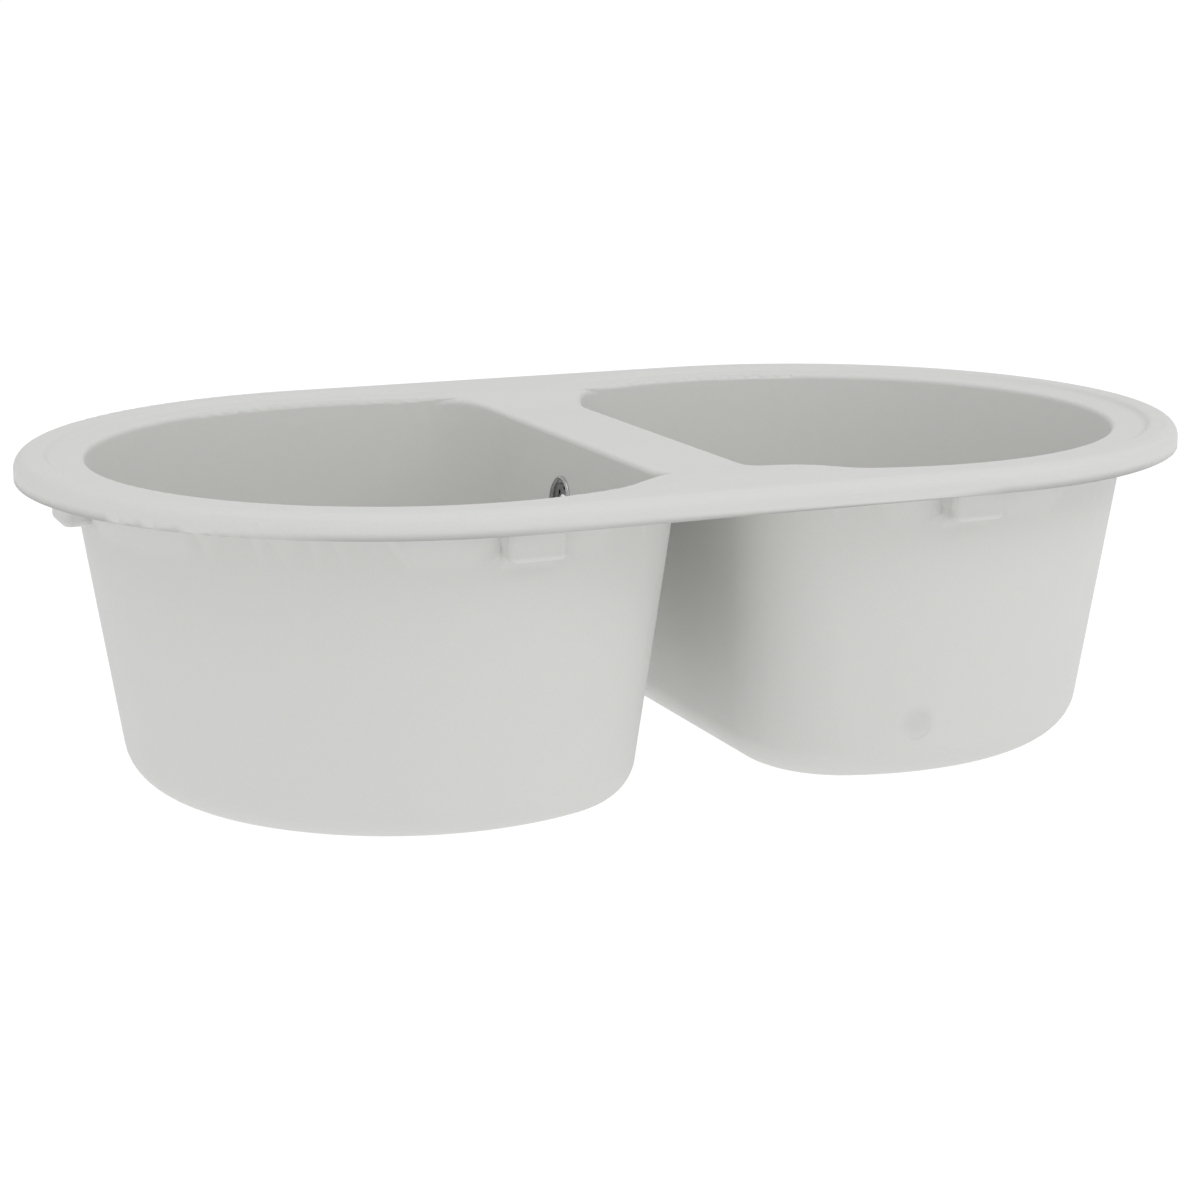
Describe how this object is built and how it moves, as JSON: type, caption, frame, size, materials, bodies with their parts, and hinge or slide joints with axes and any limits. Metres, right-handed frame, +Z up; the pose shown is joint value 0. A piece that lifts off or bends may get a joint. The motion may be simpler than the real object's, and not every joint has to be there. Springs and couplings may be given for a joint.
{
  "type": "double bowl kitchen sink",
  "caption": "Oval drop-in composite kitchen sink: round bowls side by side with a low divider, lift-out basket strainers and an overflow in the divider wall.",
  "frame": {"origin": "centre of the worktop's cut-out, level with the worktop's top surface, which is the underside of the sink's rim", "axes": "+X along the sink to its right, -Y to the front, +Z up out of the bowls"},
  "size_m": [0.7798, 0.48, 0.25],
  "materials": {
    "composite": "matt, fine grained",
    "steel": "satin",
    "chrome": "polished",
    "rubber": "matt",
    "brass": "turned",
    "plastic": "moulded"
  },
  "bodies": {
    "sink": {"sink_body": "composite", "clip_inserts": "brass", "left_dish_seal": "rubber", "left_strainer_dish": "steel", "left_housing_seal": "rubber", "left_waste_housing": "plastic", "left_clamp_screw": "steel", "left_clamp_insert": "brass", "right_dish_seal": "rubber", "right_strainer_dish": "steel", "right_housing_seal": "rubber", "right_waste_housing": "plastic", "right_clamp_screw": "steel", "right_clamp_insert": "brass", "right_inlet_cap": "plastic", "overflow_cover": "chrome", "overflow_screw": "steel", "overflow_gasket": "rubber", "overflow_elbow": "plastic"},
    "left_basket": {"left_strainer_basket": "steel", "left_basket_plug": "rubber", "left_plug_washer": "steel", "left_basket_knob": "chrome"},
    "right_basket": {"right_strainer_basket": "steel", "right_basket_plug": "rubber", "right_plug_washer": "steel", "right_basket_knob": "chrome"}
  },
  "joints": [
    {"name": "left_basket_lift", "type": "slide", "parent": "sink", "child": "left_basket", "axis": [0, 0, 1], "range_m": [0, 0.24]},
    {"name": "right_basket_lift", "type": "slide", "parent": "sink", "child": "right_basket", "axis": [0, 0, 1], "range_m": [0, 0.24]}
  ]
}
